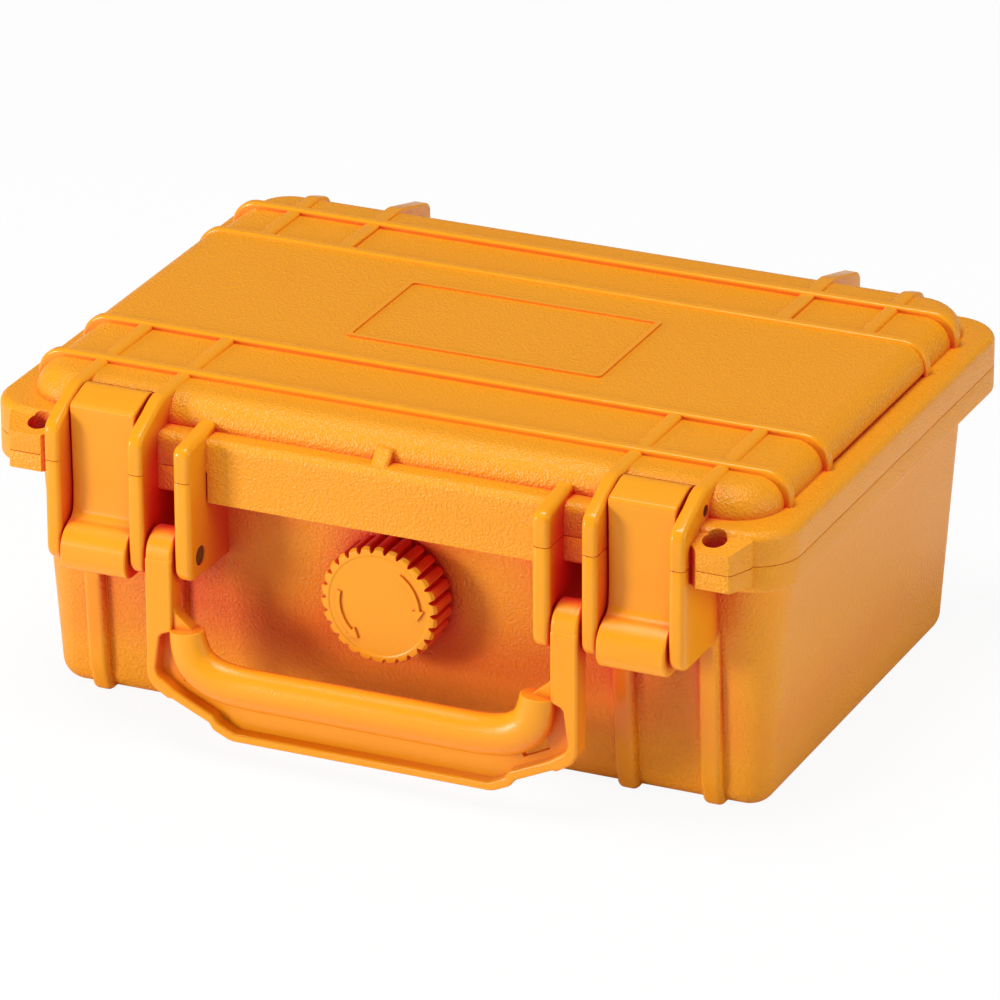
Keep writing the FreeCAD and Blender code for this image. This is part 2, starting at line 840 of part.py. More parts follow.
def make_latches():
    """Draw-down latches: a barrel on the pin in the lid, a flat plate and a rolled finger pull."""
    middle = (d.latch_rib_outer + d.latch_rib_inner) / 2
    back = d.latch_pin_y - d.latch_barrel
    slope = 0.33
    peak = d.latch_pin_z + 6.5
    roll_front = d.latch_roll_y + d.latch_roll
    roll_top = d.latch_roll_z + d.latch_roll
    roll_bottom = d.latch_roll_z - d.latch_roll
    outline = [
        (-back, peak, d.latch_barrel - 0.01),
        (-(d.latch_face + 0.4), peak - (d.latch_face + 0.4 - back) * slope, 1),
        (-d.latch_face, roll_top, 2.2),
        (-roll_front, roll_top, 5),
        (-roll_front, roll_bottom, 5),
        (-d.latch_inner, roll_bottom, 1.5),
        (-d.latch_inner, 59.5),
        (-(d.latch_inner - 0.4), 60.3),
        (-(d.latch_inner - 0.4), 62.6),
        (-d.latch_inner, 63.4),
        (-d.latch_inner, d.latch_pin_z - d.latch_barrel),
        (-back, d.latch_pin_z - d.latch_barrel, 4.2),
    ]
    for side, sign in SIDES:
        tag = f"Latch{side.title()}"
        plank = plate(tag + "Plank", "YZ_Plane", [outline], d.latch_width, (middle * sign, 0, 0), 0.5)
        centre = (middle * sign, -d.latch_pin_y, d.latch_pin_z)
        bore = cylinder(tag + "Bore", d.latch_pin_radius + d.running_clearance, 30, "x", centre)
        node(f"latch_{side}", cut(tag, plank, [bore]))
        pin_start = d.latch_rib_inner - 0.4
        pin_length = d.latch_rib_outer + 1.6 - pin_start
        pin_centre = ((pin_start + pin_length / 2) * sign, -d.latch_pin_y, d.latch_pin_z)
        pin = cylinder(tag + "Pin", d.latch_pin_radius, pin_length, "x", pin_centre)
        node(f"latch_pin_{side}", pin)


# ---------------------------------------------------------------- Handle


def two_sided(right_half):
    """An outline from its right half, listed from the bottom middle outwards and back to the middle."""
    left = [(-measure(c[0]), *c[1:]) for c in reversed(right_half)]
    return left + right_half


def make_handle():
    rim = d.rim_width
    outside = [
        (d.arm_outer - 22.3, d.handle_bottom),
        (d.arm_outer - 17.6, d.handle_bottom + 2.1),
        (d.arm_outer - 16.4, d.handle_bottom + 3.9),
        (d.arm_outer - 6.6, d.handle_bottom + 8.4),
        (d.arm_outer - 5.4, d.handle_bottom + 8.4),
        (d.arm_outer, d.handle_bottom + 11.5, 3),
        (d.arm_outer, d.handle_pin_z),
    ]
    inside = [
        (d.arm_inner, d.handle_pin_z),
        (d.arm_inner, d.shoulder - 3),
        (d.arm_inner + 3.1, d.shoulder - 3),
        (d.arm_outer - rim, d.handle_bottom + 14.2),
        (d.arm_outer - 7.4, d.handle_bottom + 10.9),
        (d.arm_outer - 17.8, d.handle_bottom + 6.3),
        (d.arm_outer - 19, d.handle_bottom + 4.4),
        (d.arm_outer - 23.3, d.handle_bottom + rim),
    ]
    depth = d.handle_face - d.handle_back
    middle = -(d.handle_face + d.handle_back) / 2
    frame = plate("HandleFrame", "XZ_Plane", [frame_outline(outside, inside)], depth, (0, middle, 0))

    web = [
        (d.arm_outer - 22.6, d.handle_bottom + 0.8),
        (d.arm_outer - 18, d.handle_bottom + 3),
        (d.arm_outer - 16.8, d.handle_bottom + 4.8),
        (d.arm_outer - 6.8, d.handle_bottom + 9.4),
        (d.arm_outer - 1.2, d.handle_bottom + 12.8),
        (d.arm_outer - 2, d.shoulder - 2.5),
        (d.arm_outer - 10, d.shoulder - 2.5),
        (d.arm_outer - 12, d.roll_bottom + 6),
    ]
    window = [
        (d.arm_outer - 16.8, d.roll_bottom + 2.6),
        (d.arm_outer - 15.1, d.roll_bottom + 0.5),
        (d.arm_outer - 9.7, d.roll_bottom + 3.2),
        (d.arm_outer - 10.8, d.roll_bottom + 6),
    ]
    left_window = [(-measure(c[0]), c[1]) for c in reversed(window)]
    web_middle = -(d.web_face + d.web_back) / 2
    web_outline = two_sided(web)
    web_thickness = d.web_face - d.web_back
    web_outlines = [web_outline, window, left_window]
    webbing = plate("HandleWeb", "XZ_Plane", web_outlines, web_thickness, (0, web_middle, 0))

    roll_outer = d.arm_inner + 0.5
    roll_inner = d.arm_inner - 5.6
    roll = [
        (roll_outer, d.roll_bottom, 15.5),
        (roll_outer, d.shoulder),
        (roll_inner, d.shoulder),
        (roll_inner, d.roll_top, 7.4),
    ]
    roll_middle = -(d.roll_face + d.roll_back) / 2
    grip = plate(
        "HandleRoll", "XZ_Plane", [two_sided(roll)], d.roll_face - d.roll_back, (0, roll_middle, 0), 2.3
    )
    pieces = [frame, webbing, grip]
    centre = handle_pin_centre()
    width = d.arm_outer - d.arm_inner - 0.1
    pieces += bore_pair("HandleBarrel", d.handle_barrel, width, "x", centre, -d.handle_pin_y, d.handle_pin_z)
    body = fuse("HandleBody", pieces)
    bores = bore_pair(
        "HandleBore",
        d.handle_pin_radius + d.running_clearance,
        20,
        "x",
        centre,
        -d.handle_pin_y,
        d.handle_pin_z,
    )
    node("handle", cut("Handle", body, bores))
    for side, sign in SIDES:
        place = (centre * sign, -d.handle_pin_y, d.handle_pin_z)
        pin = cylinder(f"HandlePin{side.title()}", d.handle_pin_radius, 16.4, "x", place)
        node(f"handle_pin_{side}", pin)


def frame_outline(outside, inside):
    """The handle's flat frame: down one arm, round the bottom rim and up the other."""
    left_inside = [(-measure(c[0]), *c[1:]) for c in reversed(inside)]
    left_outside = [(-measure(c[0]), *c[1:]) for c in reversed(outside)]
    return outside + inside + left_inside + left_outside


# ---------------------------------------------------------------- Pressure purge valve


def ring(name, outer, inner, front, back):
    """A round sleeve or washer on the valve's axis, between two distances in front of the middle."""
    centre = (0, -(measure(front) + back) / 2, d.valve_z)
    length = measure(front) - back
    hole_length = length + 4
    solid = cylinder(name + "Solid", outer, length, "y", centre)
    hole = cylinder(name + "Hole", inner, hole_length, "y", centre)
    return cut(name, solid, [hole])


def make_purge_valve():
    seat_front = d.boss_face + 2.4
    tube = d.valve_bore - 0.05
    bore = d.stem_radius + d.running_clearance
    node("purge_seal_washer", ring("SealWasher", 8, d.valve_bore + 0.1, d.boss_face + 0.8, d.boss_face))

    flange = ring("ValveFlange", 8.4, bore, seat_front, d.boss_face + 0.8)
    sleeve = ring("ValveSleeve", tube, bore, d.boss_face + 1, d.boss_back - 8)
    node("purge_valve_body", fuse("ValveBody", [flange, sleeve]))

    nut = new_body("LockNut", 0, -(d.boss_back - 4), d.valve_z)
    sketch = new_sketch(nut, "XZ_Plane")
    reach = 15.0 / 2
    turns = [math.radians(60 * i) for i in range(6)]
    corners = [(reach * math.cos(turn), reach * math.sin(turn)) for turn in turns]
    draw_outline(sketch, corners)
    draw_circle(sketch, (0, 0), tube)
    pad(nut, sketch, 4)
    node("purge_lock_nut", nut)

    collar_back = seat_front + 1.75
    collar_front = collar_back + 1.3
    stem = [
        spindle("Stem", d.stem_radius, collar_front + 2.2, d.boss_back - 7.5),
        spindle("StemCollar", 5, collar_front, collar_back),
    ]
    node("purge_stem", fuse("PurgeStem", stem))
    seal = doc.addObject("Part::Torus", "StemSeal")
    bind(seal, "Radius1", d.stem_radius + 0.85)
    bind(seal, "Radius2", 0.8)
    seal.Placement = FreeCAD.Placement(Vector(), FreeCAD.Rotation(Vector(1, 0, 0), 90))
    bind(seal, "Placement.Base.y", -(seat_front + 0.95))
    bind(seal, "Placement.Base.z", d.valve_z)
    node("purge_o_ring", seal)
    make_knob(collar_front + 0.15)


def spindle(name, radius, front, back):
    centre = (0, -(measure(front) + back) / 2, d.valve_z)
    return cylinder(name, radius, measure(front) - back, "y", centre)


def make_knob(hub_back):
    """A cup with saw-toothed grips round its edge, which turns on the end of the stem."""
    cup = new_body("KnobCup", 0, -d.knob_back, d.valve_z)
    sketch = new_sketch(cup, "XZ_Plane")
    draw_circle(sketch, (0, 0), d.knob_radius)
    pad(cup, sketch, d.knob_face - d.knob_back)
    face_edge = measure(d.knob_back - d.knob_face).value
    fillet(cup, 1.1, lambda middle, edge: abs(middle.y - face_edge) < 0.01)
    notch = new_sketch(cup, "XZ_Plane")
    notch.Label = "KnobNotch"
    draw_outline(
        notch,
        [
            (d.knob_radius - d.tooth_depth, 0),
            (d.knob_radius + 1, -1.0),
            (d.knob_radius + 1, 2.2),
            (d.knob_radius, 2.2),
        ],
    )
    groove = cup.newObject("PartDesign::Pocket", "KnobGroove")
    groove.Profile = notch
    groove.Type = "ThroughAll"
    groove.Midplane = True
    doc.recompute()
    teeth = cup.newObject("PartDesign::PolarPattern", "KnobTeeth")
    teeth.Originals = [groove]
    axis = next(f for f in cup.Origin.OriginFeatures if f.Role == "Y_Axis")
    teeth.Axis = (axis, [""])
    teeth.Angle = 360
    bind(teeth, "Occurrences", d.tooth_count)
    cup.Tip = teeth
    doc.recompute()

    hollow = spindle("KnobHollow", d.knob_radius - 2.6, d.knob_face - 2.6, d.knob_back - 1)
    hub = spindle("KnobHub", 5, d.knob_face - 2.4, hub_back)
    shell = fuse("KnobShell", [cut("KnobHollowed", cup, [hollow]), hub])
    socket = spindle("KnobSocket", d.stem_radius + d.running_clearance, hub_back + 2.4, hub_back - 1)
    node("purge_knob", cut("PurgeKnob", shell, [socket]))


# ---------------------------------------------------------------- Foam


def make_foam():
    """Foam pads that line the floor of the base and the roof of the lid."""
    gap = d.foam_gap + 0.3
    base_pad = rounded_block(
        "BaseFoam",
        d.tub_half_width - d.wall - gap,
        d.tub_half_depth - d.wall - gap,
        d.tub_half_depth - d.wall - gap,
        d.tub_corner,
        d.floor + 0.3,
        d.base_foam_top - d.floor - 0.3,
        d.draft_angle,
    )
    fillet(base_pad, d.foam_round, lambda middle, edge: middle.z < d.floor.value + 0.31)
    node("base_foam", base_pad)
    lid_pad = rounded_block(
        "LidFoam",
        d.cavity_half_width - gap,
        d.cavity_half_depth - gap,
        d.cavity_half_depth - gap,
        d.cavity_corner - gap,
        d.lid_foam_bottom,
        d.lid_roof - 0.3 - d.lid_foam_bottom,
    )
    fillet(lid_pad, d.foam_round, lambda middle, edge: middle.z > d.lid_roof.value - 0.31)
    node("lid_foam", lid_pad)


# ---------------------------------------------------------------- Build, check and write


def failed(piece):
    return any(word in piece.State for word in ("Invalid", "Error"))


def main():
    make_base_shell()
    make_lid_shell()
    make_gasket()
    make_hinge_pins()
    make_latches()
    make_handle()
    make_purge_valve()
    make_foam()
    doc.recompute()
    broken = [piece.Name for piece in doc.Objects if failed(piece)]
    if broken:
        raise RuntimeError(f"these features failed: {broken}")
    for piece in NODES:
        if piece.Shape.isNull() or not piece.Shape.isValid():
            raise RuntimeError(f"{piece.Label} has no valid shape")
    os.makedirs("parts", exist_ok=True)
    for piece in NODES:
        piece.Shape.exportStep(f"parts/{piece.Label}.step")
        size = piece.Shape.BoundBox
        print(f"{piece.Label}: {size.XLength:.1f} x {size.YLength:.1f} x {size.ZLength:.1f}")


main()
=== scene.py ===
# %% [markdown]
# # A watertight hard case
# The case arrives as a fixed set of engineering parts. This lesson dresses them: moulded orange
# plastic with a fine leather grain, smooth ribs that catch thin highlights, a hand-sized grip,
# a saw-toothed valve knob with two raised arrows, steel pins, a rubber seal and a foam lining.

# %% Load the engineering frame
import json
import math

import bmesh
import bpy
from mathutils import Matrix, Vector


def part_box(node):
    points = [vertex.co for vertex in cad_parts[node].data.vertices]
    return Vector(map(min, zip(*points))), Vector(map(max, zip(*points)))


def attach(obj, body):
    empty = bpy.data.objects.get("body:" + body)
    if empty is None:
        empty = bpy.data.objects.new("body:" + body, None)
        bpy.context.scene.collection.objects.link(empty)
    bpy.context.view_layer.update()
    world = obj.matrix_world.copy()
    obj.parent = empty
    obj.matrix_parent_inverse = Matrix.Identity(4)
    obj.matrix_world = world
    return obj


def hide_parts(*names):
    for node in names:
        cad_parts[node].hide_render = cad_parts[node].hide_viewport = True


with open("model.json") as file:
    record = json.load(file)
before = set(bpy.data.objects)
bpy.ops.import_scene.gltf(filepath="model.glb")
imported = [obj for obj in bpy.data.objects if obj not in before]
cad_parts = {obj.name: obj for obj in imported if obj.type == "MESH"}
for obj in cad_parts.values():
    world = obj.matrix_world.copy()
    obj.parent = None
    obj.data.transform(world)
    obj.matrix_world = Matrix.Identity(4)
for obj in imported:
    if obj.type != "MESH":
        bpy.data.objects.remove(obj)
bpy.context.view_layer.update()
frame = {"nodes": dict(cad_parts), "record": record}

MM = 0.001

# %% [markdown]
# ## The camera
# A product picture of a small case is taken from a couple of metres away with a long lens, so the
# box keeps almost parallel edges. The camera is placed by two angles and a distance from the point
# that it looks at, which is easier to read than a matrix.

# %% Place the camera
AZIMUTH, ELEVATION, ROLL = math.radians(24.25), math.radians(23.39), math.radians(-0.18)
CAMERA_DISTANCE = 1.9076
LOOK_AT = Vector((1.67, -7.88, 45.02)) * MM
SENSOR_WIDTH = 36.0
FOCAL_LENGTH = 278.0


def direction_from(azimuth, elevation):
    """The way from the object to a viewer at these angles; azimuth 0 stands in front, at -Y."""
    flat = math.cos(elevation)
    return Vector((math.sin(azimuth) * flat, -math.cos(azimuth) * flat, math.sin(elevation)))


def aim(thing, position, target, roll=0.0):
    turn = (target - position).to_track_quat("-Z", "Y").to_matrix().to_4x4()
    thing.matrix_world = Matrix.Translation(position) @ turn @ Matrix.Rotation(roll, 4, "Z")


camera = bpy.data.objects.new("camera", bpy.data.cameras.new("camera"))
bpy.context.scene.collection.objects.link(camera)
camera.data.sensor_width = SENSOR_WIDTH
camera.data.lens = FOCAL_LENGTH
camera.data.shift_x = 0.0029
camera.data.shift_y = 0.0001
camera.data.clip_start = 0.05
aim(camera, LOOK_AT + direction_from(AZIMUTH, ELEVATION) * CAMERA_DISTANCE, LOOK_AT, ROLL)
bpy.context.scene.camera = camera
print("camera at", [round(c, 3) for c in camera.location])

# %% [markdown]
# ## Light and floor
# The case stands on a pale table. A low soft box from the left lights the front, so the ribs and
# the knob throw soft shadows to the right, and a larger one overhead lights the lid. The surround
# is weak, because strong light from every side would wash the recesses out. A light path node
# still shows it as white, and does the same for the table.

# %% Build the studio
scene = bpy.context.scene
scene.view_settings.view_transform = "Standard"
world = bpy.data.worlds.new("studio")
scene.world = world
world.use_nodes = True
sky = world.node_tree
surround = sky.nodes["Background"]
surround.inputs["Color"].default_value = (1.0, 0.99, 0.98, 1.0)
surround.inputs["Strength"].default_value = 0.2
seen = sky.nodes.new("ShaderNodeBackground")
seen.inputs["Color"].default_value = (1.0, 1.0, 1.0, 1.0)
ray = sky.nodes.new("ShaderNodeLightPath")
choose = sky.nodes.new("ShaderNodeMixShader")
sky.links.new(ray.outputs["Is Camera Ray"], choose.inputs["Fac"])
sky.links.new(surround.outputs[0], choose.inputs[1])
sky.links.new(seen.outputs[0], choose.inputs[2])
sky.links.new(choose.outputs[0], sky.nodes["World Output"].inputs["Surface"])


def soft_box(name, azimuth, elevation, distance, size, power):
    """A square area light that faces the case."""
    light = bpy.data.lights.new(name, "AREA")
    light.shape = "SQUARE"
    light.size = size
    light.energy = power
    lamp = bpy.data.objects.new(name, light)
    scene.collection.objects.link(lamp)
    spot = direction_from(math.radians(azimuth), math.radians(elevation)) * distance + LOOK_AT
    aim(lamp, spot, LOOK_AT)
    return lamp


soft_box("key_light", -42, 10, 1.4, 0.36, 11.2)
soft_box("overhead_light", -20, 78, 1.3, 0.6, 12.6)
soft_box("side_light", 88, 16, 1.6, 0.8, 7.0)

bpy.ops.mesh.primitive_plane_add(size=8.0, location=(0, 0, 0))
floor = bpy.context.object
floor.name = "table_top"

# %% [markdown]
# ## Shared surface effects
# Two effects come back on several finishes, so each is a node group that is built once. The first
# is the mould grain: small soft cells like fine leather. The second is the slow unevenness of a
# moulded colour, with a touch of bloom where the plastic flowed.

# %% Helpers for node trees


def wire(tree, source, target):
    tree.links.new(source, target)


def new_node(tree, kind, **inputs):
    node = tree.nodes.new(kind)
    for name, value in inputs.items():
        node.inputs[name.replace("_", " ")].default_value = value
    return node


def new_group(name, inputs, outputs):
    group = bpy.data.node_groups.new(name, "ShaderNodeTree")
    for socket, kind, value in inputs:
        made = group.interface.new_socket(socket, in_out="INPUT", socket_type=kind)
        if value is not None:
            made.default_value = value
    for socket, kind in outputs:
        group.interface.new_socket(socket, in_out="OUTPUT", socket_type=kind)
    return group, group.nodes.new("NodeGroupInput"), group.nodes.new("NodeGroupOutput")


# %% Build the mould grain group


def build_mould_grain():
    """Height of a fine leather grain: soft cells, broken up by a smaller noise."""
    group, given, result = new_group(
        "mould grain",
        [("Vector", "NodeSocketVector", None), ("Cells", "NodeSocketFloat", 1700.0)],
        [("Height", "NodeSocketFloat")],
    )
    cells = new_node(group, "ShaderNodeTexVoronoi")
    cells.feature = "SMOOTH_F1"
    cells.inputs["Smoothness"].default_value = 0.6
    fine = new_node(group, "ShaderNodeTexNoise", Detail=2.0)
    double = new_node(group, "ShaderNodeMath")
    double.operation = "MULTIPLY"
    double.inputs[1].default_value = 1.7
    mix = new_node(group, "ShaderNodeMath")
    mix.operation = "MULTIPLY_ADD"
    mix.inputs[1].default_value = 0.5
    wire(group, given.outputs["Vector"], cells.inputs["Vector"])
    wire(group, given.outputs["Vector"], fine.inputs["Vector"])
    wire(group, given.outputs["Cells"], cells.inputs["Scale"])
    wire(group, given.outputs["Cells"], double.inputs[0])
    wire(group, double.outputs[0], fine.inputs["Scale"])
    wire(group, fine.outputs["Fac"], mix.inputs[0])
    wire(group, cells.outputs["Distance"], mix.inputs[2])
    wire(group, mix.outputs[0], result.inputs["Height"])
    return group


MOULD_GRAIN = build_mould_grain()

# %% Build the uneven tint group


def build_uneven_tint():
    """A colour that drifts a little, and a roughness that drifts with it."""
    group, given, result = new_group(
        "uneven tint",
        [
            ("Vector", "NodeSocketVector", None),
            ("Color", "NodeSocketColor", (0.8, 0.8, 0.8, 1.0)),
            ("Deep", "NodeSocketColor", (0.7, 0.7, 0.7, 1.0)),
            ("Roughness", "NodeSocketFloat", 0.4),
            ("Spread", "NodeSocketFloat", 0.08),
        ],
        [("Color", "NodeSocketColor"), ("Roughness", "NodeSocketFloat")],
    )
    drift = new_node(group, "ShaderNodeTexNoise", Scale=22.0, Detail=3.0)
    tint = new_node(group, "ShaderNodeMix")
    tint.data_type = "RGBA"
    shift = new_node(group, "ShaderNodeMath")
    shift.operation = "MULTIPLY_ADD"
    wire(group, given.outputs["Vector"], drift.inputs["Vector"])
    wire(group, drift.outputs["Fac"], tint.inputs["Factor"])
    wire(group, given.outputs["Color"], tint.inputs[6])
    wire(group, given.outputs["Deep"], tint.inputs[7])
    wire(group, drift.outputs["Fac"], shift.inputs[0])
    wire(group, given.outputs["Spread"], shift.inputs[1])
    wire(group, given.outputs["Roughness"], shift.inputs[2])
    wire(group, tint.outputs[2], result.inputs["Color"])
    wire(group, shift.outputs[0], result.inputs["Roughness"])
    return group


UNEVEN_TINT = build_uneven_tint()
print("groups:", [g.name for g in bpy.data.node_groups])

# %% [markdown]
# ## Finishes
# Every finish is one recipe with its own numbers: a colour that drifts, a roughness, and a grain
# of a given cell size and depth. Moulded finishes also get painted shade: a deep red painted into
# recesses, where shade falls and the light has bounced off the orange plastic several times. An
# occlusion node finds those places, and a painted mask keeps the painted shade off the inside of
# the shells. A second mask keeps the grain off the ribs, because the real mould is etched only on
# its large faces. The same mask makes the ribs glossier.

# %% Write the finish recipe
# Reach of the occlusion that places the painted shade in recesses.
SHADE_REACH = 0.06


def paint_recess_shade(tree, color, shade_colour, reach, outer):
    """Paints shade: mixes the colour towards a deep red in hollows, where shade falls, and fades it out
    close to the pale table, which lights the lowest part.
    """
    hollow = tree.nodes.new("ShaderNodeAmbientOcclusion")
    hollow.samples = 8
    hollow.inputs["Distance"].default_value = reach
    soften = tree.nodes.new("ShaderNodeMapRange")
    soften.inputs["From Min"].default_value = 0.28
    soften.inputs["From Max"].default_value = 0.64
    place = tree.nodes.new("ShaderNodeTexCoord")
    split = tree.nodes.new("ShaderNodeSeparateXYZ")
    # The painted shade fades out below about 36 mm, where the pale table lights the walls.
    low = tree.nodes.new("ShaderNodeMapRange")
    low.inputs["From Min"].default_value = 0.036
    low.inputs["From Max"].default_value = 0.012
    brighter = new_node(tree, "ShaderNodeMath")
    brighter.operation = "MAXIMUM"
    wire(tree, place.outputs["Object"], split.inputs["Vector"])
    wire(tree, split.outputs["Z"], low.inputs["Value"])
    wire(tree, low.outputs["Result"], brighter.inputs[1])
    blend = tree.nodes.new("ShaderNodeMix")
    blend.data_type = "RGBA"
    blend.inputs[6].default_value = (*shade_colour, 1.0)
    wire(tree, hollow.outputs["AO"], soften.inputs["Value"])
    wire(tree, soften.outputs["Result"], brighter.inputs[0])
    share = brighter.outputs[0]
    # Inner faces of the shells get no painted shade.
    if outer:
        painted = tree.nodes.new("ShaderNodeAttribute")
        painted.attribute_name = outer
        inside = new_node(tree, "ShaderNodeMath")
        inside.operation = "SUBTRACT"
        inside.inputs[0].default_value = 1.0
        either = new_node(tree, "ShaderNodeMath")
        either.operation = "MAXIMUM"
        wire(tree, painted.outputs["Fac"], inside.inputs[1])
        wire(tree, inside.outputs[0], either.inputs[0])
        wire(tree, share, either.inputs[1])
        share = either.outputs[0]
    wire(tree, share, blend.inputs["Factor"])
    wire(tree, color, blend.inputs[7])
    return blend.outputs[2]


def build_finish(
    name,
    color,
    deep,
    roughness,
    cells,
    depth,
    metallic=0.0,
    mask=None,
    shade_colour=None,
    outer=None,
    gloss=0.5,
):
    """A moulded or turned finish: colours are linear, cells are per metre and depth is in metres."""
    material = bpy.data.materials.new(name)
    material.use_nodes = True
    tree = material.node_tree
    shader = tree.nodes["Principled BSDF"]
    shader.inputs["Metallic"].default_value = metallic
    shader.inputs["Specular IOR Level"].default_value = gloss
    place = tree.nodes.new("ShaderNodeTexCoord")
    tint = tree.nodes.new("ShaderNodeGroup")
    tint.node_tree = UNEVEN_TINT
    tint.inputs["Color"].default_value = (*color, 1.0)
    tint.inputs["Deep"].default_value = (*deep, 1.0)
    tint.inputs["Roughness"].default_value = roughness
    grain = tree.nodes.new("ShaderNodeGroup")
    grain.node_tree = MOULD_GRAIN
    grain.inputs["Cells"].default_value = cells
    bump = new_node(tree, "ShaderNodeBump", Strength=1.0, Distance=depth)
    wire(tree, place.outputs["Object"], tint.inputs["Vector"])
    wire(tree, place.outputs["Object"], grain.inputs["Vector"])
    height = grain.outputs["Height"]
    polish = tint.outputs["Roughness"]
    if mask:
        painted = tree.nodes.new("ShaderNodeAttribute")
        painted.attribute_name = mask
        share = new_node(tree, "ShaderNodeMath")
        share.operation = "MULTIPLY"
        wire(tree, height, share.inputs[0])
        wire(tree, painted.outputs["Fac"], share.inputs[1])
        height = share.outputs[0]
        satin = tree.nodes.new("ShaderNodeMapRange")
        satin.inputs["To Min"].default_value = 0.5
        smoother = new_node(tree, "ShaderNodeMath")
        smoother.operation = "MULTIPLY"
        wire(tree, painted.outputs["Fac"], satin.inputs["Value"])
        wire(tree, polish, smoother.inputs[0])
        wire(tree, satin.outputs["Result"], smoother.inputs[1])
        polish = smoother.outputs[0]
    tone = tint.outputs["Color"]
    # Painted shade: recesses get a deeper red base colour.
    if shade_colour:
        tone = paint_recess_shade(tree, tone, shade_colour, SHADE_REACH, outer)
    wire(tree, height, bump.inputs["Height"])
    wire(tree, tone, shader.inputs["Base Color"])
    wire(tree, polish, shader.inputs["Roughness"])
    wire(tree, bump.outputs["Normal"], shader.inputs["Normal"])
    return material


# %% Mix the finishes
ORANGE = (0.89, 0.345, 0.010)
DEEP_ORANGE = (0.88, 0.32, 0.008)
# Painted shade: the deep red that recesses are painted with, in place of their shade and reddened bounce
# light.
SHADE_RED = (0.74, 0.030, 0.020)
# Moulded finishes carry the painted shade and a lower gloss.
MOULDED = {"shade_colour": SHADE_RED, "gloss": 0.32}
CASE_PLASTIC = build_finish(
    "case_plastic",
    ORANGE,
    DEEP_ORANGE,
    0.30,
    1500.0,
    0.00022,
    mask="grained",
    outer="outer_skin",
    **MOULDED,
)
LATCH_PLASTIC = build_finish("latch_plastic", ORANGE, DEEP_ORANGE, 0.24, 2600.0, 0.00003, **MOULDED)
GRIP_PLASTIC = build_finish("grip_plastic", ORANGE, DEEP_ORANGE, 0.22, 2600.0, 0.00004, **MOULDED)
DARK_STEEL, DEEP_STEEL = (0.26, 0.24, 0.23), (0.18, 0.17, 0.165)
STEEL = build_finish("pin_steel", DARK_STEEL, DEEP_STEEL, 0.2, 4000.0, 0.00001, metallic=1.0)
BLACK_NYLON = build_finish("valve_nylon", (0.028, 0.028, 0.03), (0.02, 0.02, 0.022), 0.42, 1900.0, 0.00004)
RUBBER = build_finish("seal_rubber", (0.022, 0.022, 0.023), (0.03, 0.03, 0.032), 0.55, 1500.0, 0.00003)
FOAM = build_finish("foam", (0.055, 0.056, 0.06), (0.03, 0.031, 0.034), 0.88, 900.0, 0.0006)
TABLE = build_finish("table_paint", (0.96, 0.96, 0.96), (0.95, 0.95, 0.95), 0.6, 300.0, 0.00002)
whiten = TABLE.node_tree.nodes.new("ShaderNodeMixShader")
glow = new_node(TABLE.node_tree, "ShaderNodeEmission", Color=(1.0, 1.0, 1.0, 1.0), Strength=1.0)
eye = TABLE.node_tree.nodes.new("ShaderNodeLightPath")
lift = new_node(TABLE.node_tree, "ShaderNodeMath")
lift.operation = "MULTIPLY"
lift.inputs[1].default_value = 0.93
wire(TABLE.node_tree, eye.outputs["Is Camera Ray"], lift.inputs[0])
wire(TABLE.node_tree, lift.outputs[0], whiten.inputs["Fac"])
wire(TABLE.node_tree, TABLE.node_tree.nodes["Principled BSDF"].outputs[0], whiten.inputs[1])
wire(TABLE.node_tree, glow.outputs[0], whiten.inputs[2])
wire(TABLE.node_tree, whiten.outputs[0], TABLE.node_tree.nodes["Material Output"].inputs["Surface"])
floor.data.materials.append(TABLE)
print("finishes:", [m.name for m in bpy.data.materials])

# %% [markdown]
# ## Tools for the bench
# Most parts of a moulded case are plates: an outline with a thickness. Each one starts as a flat
# disc with as many points as the outline has corners. The points are moved onto the outline,
# chosen corners are rounded with a vertex bevel, and the face is extruded. A bevel modifier then
# breaks the edges, as the radius of a real mould does, and each edge catches a thin highlight.

# %% Select and place by hand


def clear_selection():
    if bpy.context.object and bpy.context.object.mode != "OBJECT":
        bpy.ops.object.mode_set(mode="OBJECT")
    bpy.ops.object.select_all(action="DESELECT")


def make_active(piece):
    clear_selection()
    piece.select_set(True)
    bpy.context.view_layer.objects.active = piece


def on_plane(axis, u, v, depth=0.0):
    """A point from millimetres: u and v lie across the axis, in the order of the letters."""
    if axis == "X":
        return Vector((depth, u, v)) * MM
    if axis == "Y":
        return Vector((u, depth, v)) * MM
    return Vector((u, v, depth)) * MM


# %% Cut a plate from an outline


def plate(name, axis, corners, start, end):
    """An outline of (u, v) or (u, v, rounding) corners in millimetres, extruded from start to end."""
    clear_selection()
    bpy.ops.mesh.primitive_circle_add(vertices=len(corners), radius=1.0, fill_type="NGON")
    piece = bpy.context.object
    piece.name = name
    for vertex, corner in zip(piece.data.vertices, corners):
        vertex.co = on_plane(axis, corner[0], corner[1], start)
    bpy.ops.object.mode_set(mode="EDIT")
    bpy.ops.mesh.select_mode(type="VERT")
    for corner in [c for c in corners if len(c) == 3]:
        spot = on_plane(axis, corner[0], corner[1], start)
        mesh = bmesh.from_edit_mesh(piece.data)
        for vertex in mesh.verts:
            vertex.select_set((vertex.co - spot).length < 1e-6)
        mesh.select_flush_mode()
        bpy.ops.mesh.bevel(offset=corner[2] * MM, segments=7, affect="VERTICES")
    bpy.ops.mesh.select_all(action="SELECT")
    bpy.ops.mesh.extrude_region_move(TRANSFORM_OT_translate={"value": on_plane(axis, 0, 0, end - start)})
    bpy.ops.mesh.select_all(action="SELECT")
    bpy.ops.mesh.normals_make_consistent(inside=False)
    bpy.ops.object.mode_set(mode="OBJECT")
    return piece


